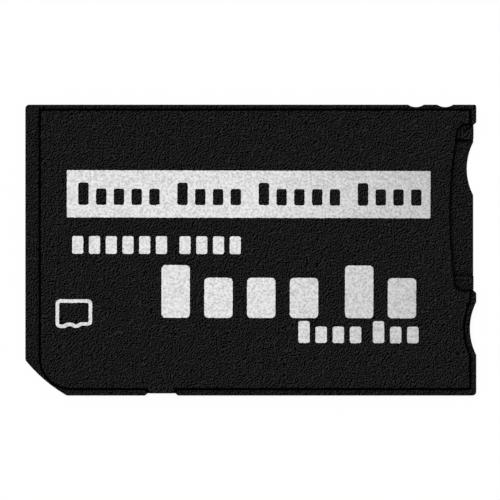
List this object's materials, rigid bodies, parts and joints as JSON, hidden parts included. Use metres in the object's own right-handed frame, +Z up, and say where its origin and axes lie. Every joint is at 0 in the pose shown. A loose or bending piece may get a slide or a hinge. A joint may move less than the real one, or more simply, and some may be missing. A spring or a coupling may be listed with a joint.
{
  "type": "memory card adapter",
  "caption": "Flat black plastic memory card adapter that carries a smaller memory card in a slot in one end.",
  "frame": {"origin": "on the underside, under the middle of the 31 x 20 mm outline", "axes": "+X along the length, from the contact end to the card slot; +Y towards the edge with the two small nicks; +Z up through the label side"},
  "size_m": [0.031, 0.02, 0.0016],
  "materials": {
    "black_shell": "finely grained black",
    "black_cover": "finely grained black",
    "white_print": "screen-printed white ink",
    "board": "green solder resist",
    "carrier_plastic": "moulded black",
    "chip_package": "moulded, satin",
    "gold_contact": "hard gold plating",
    "spring_contact": "gold-plated spring strip",
    "capacitor_body": "fired ceramic with tinned ends",
    "resistor_body": "coated ceramic with tinned ends"
  },
  "bodies": {
    "root": {"base_shell": "black_shell", "top_cover": "black_cover", "circuit_board": "board", "contact_carrier": "carrier_plastic", "controller_chip": "chip_package", "host_contact_01": "gold_contact", "host_contact_02": "gold_contact", "host_contact_03": "gold_contact", "host_contact_04": "gold_contact", "host_contact_05": "gold_contact", "host_contact_06": "gold_contact", "host_contact_07": "gold_contact", "host_contact_08": "gold_contact", "host_contact_09": "gold_contact", "host_contact_10": "gold_contact", "card_contact_1": "spring_contact", "card_contact_2": "spring_contact", "card_contact_3": "spring_contact", "card_contact_4": "spring_contact", "card_contact_5": "spring_contact", "card_contact_6": "spring_contact", "card_contact_7": "spring_contact", "card_contact_8": "spring_contact", "capacitor_1": "capacitor_body", "capacitor_2": "capacitor_body", "capacitor_3": "capacitor_body", "capacitor_4": "capacitor_body", "resistor_1": "resistor_body", "resistor_2": "resistor_body", "resistor_3": "resistor_body", "resistor_4": "resistor_body"}
  },
  "joints": []
}
